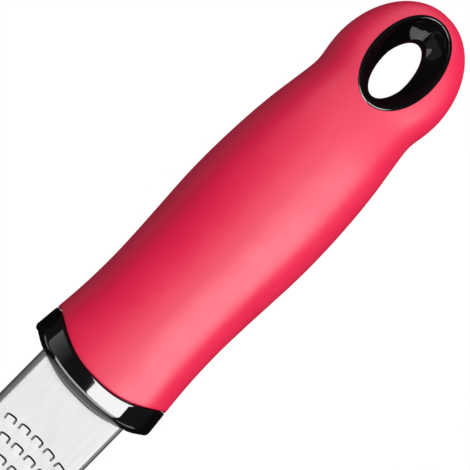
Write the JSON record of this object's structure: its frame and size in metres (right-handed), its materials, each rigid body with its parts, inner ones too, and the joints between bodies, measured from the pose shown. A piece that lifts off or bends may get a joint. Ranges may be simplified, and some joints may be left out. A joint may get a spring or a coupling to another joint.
{
  "type": "rasp grater",
  "caption": "Hand-held rasp grater: a long narrow etched steel blade with folded edges, set in a soft-touch handle with a front collar and an oval hanging eyelet.",
  "frame": {"origin": "middle of the whole length and width, level with the lowest point of the handle's belly", "axes": "+X from the blade's tip to the end of the handle, +Z out of the cutting face, +Y across the blade to complete a right-handed frame"},
  "size_m": [0.324, 0.0348, 0.0268],
  "materials": {
    "steel": "fine bright photo-etched stainless steel sheet",
    "core_plastic": "plain moulded plastic, hidden inside the grip",
    "black_plastic": "polished black moulded plastic",
    "soft_grip": "smooth satin soft-touch rubber, crimson red"
  },
  "bodies": {
    "root": {"blade": "steel", "handle_core": "core_plastic", "collar": "black_plastic", "grip": "soft_grip", "eyelet": "black_plastic"}
  },
  "joints": []
}
